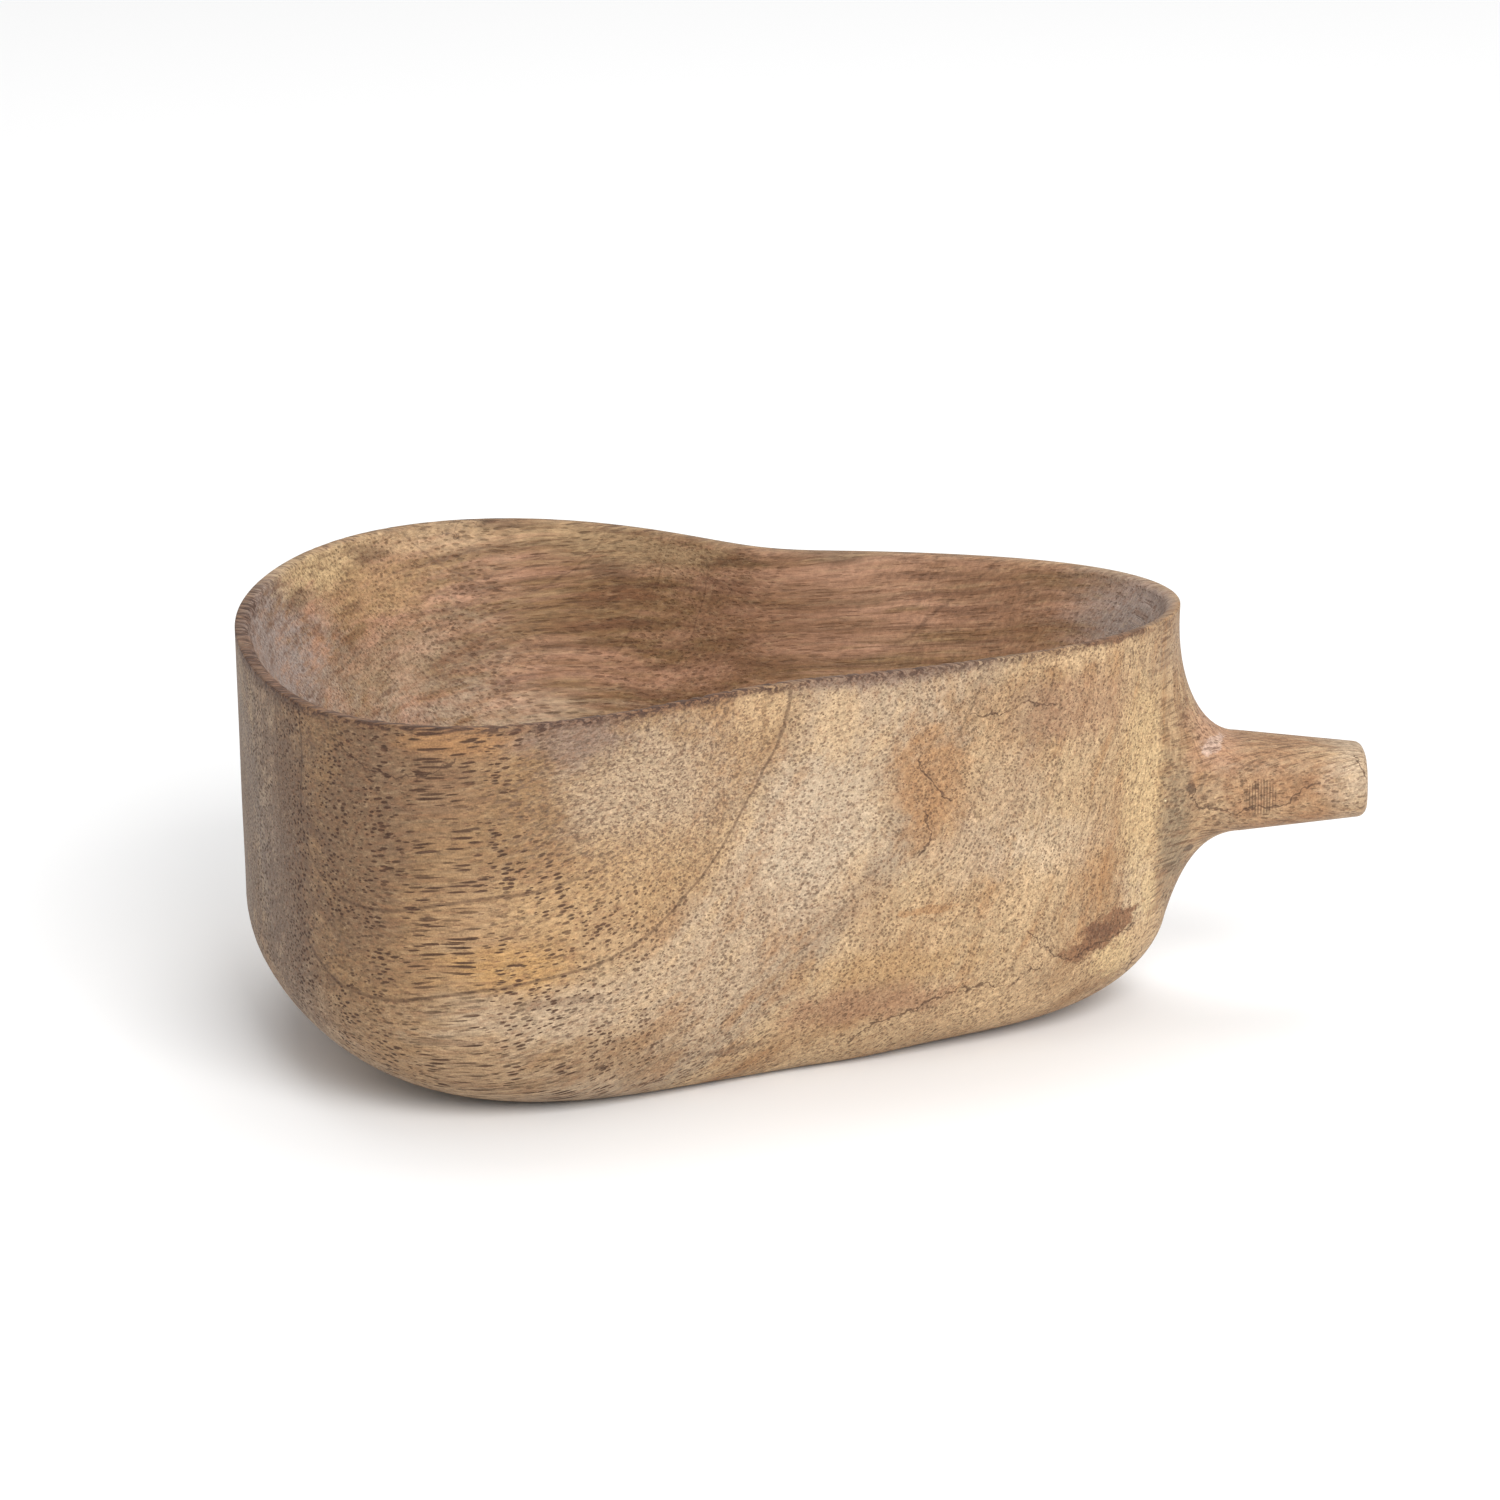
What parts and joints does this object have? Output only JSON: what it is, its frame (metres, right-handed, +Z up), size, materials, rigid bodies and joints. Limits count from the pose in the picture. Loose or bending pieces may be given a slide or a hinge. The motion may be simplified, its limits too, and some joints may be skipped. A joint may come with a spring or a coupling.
{
  "type": "carved wooden cup",
  "caption": "Pear-shaped wooden cup carved from one block, with a round-bottomed hollow, a thin rim, a flat foot and a short solid stem handle.",
  "frame": {"origin": "on the surface that the cup stands on, under the middle of its length and on the centre line of its handle", "axes": "+X along the cup's length towards the tip of the handle, +Y to the left of that, +Z up through the open mouth"},
  "size_m": [0.176, 0.113, 0.065],
  "materials": {
    "wood": "smooth matte to satin, spalted grey-brown hardwood with long dark pores"
  },
  "bodies": {
    "root": {"cup": "wood"}
  },
  "joints": []
}
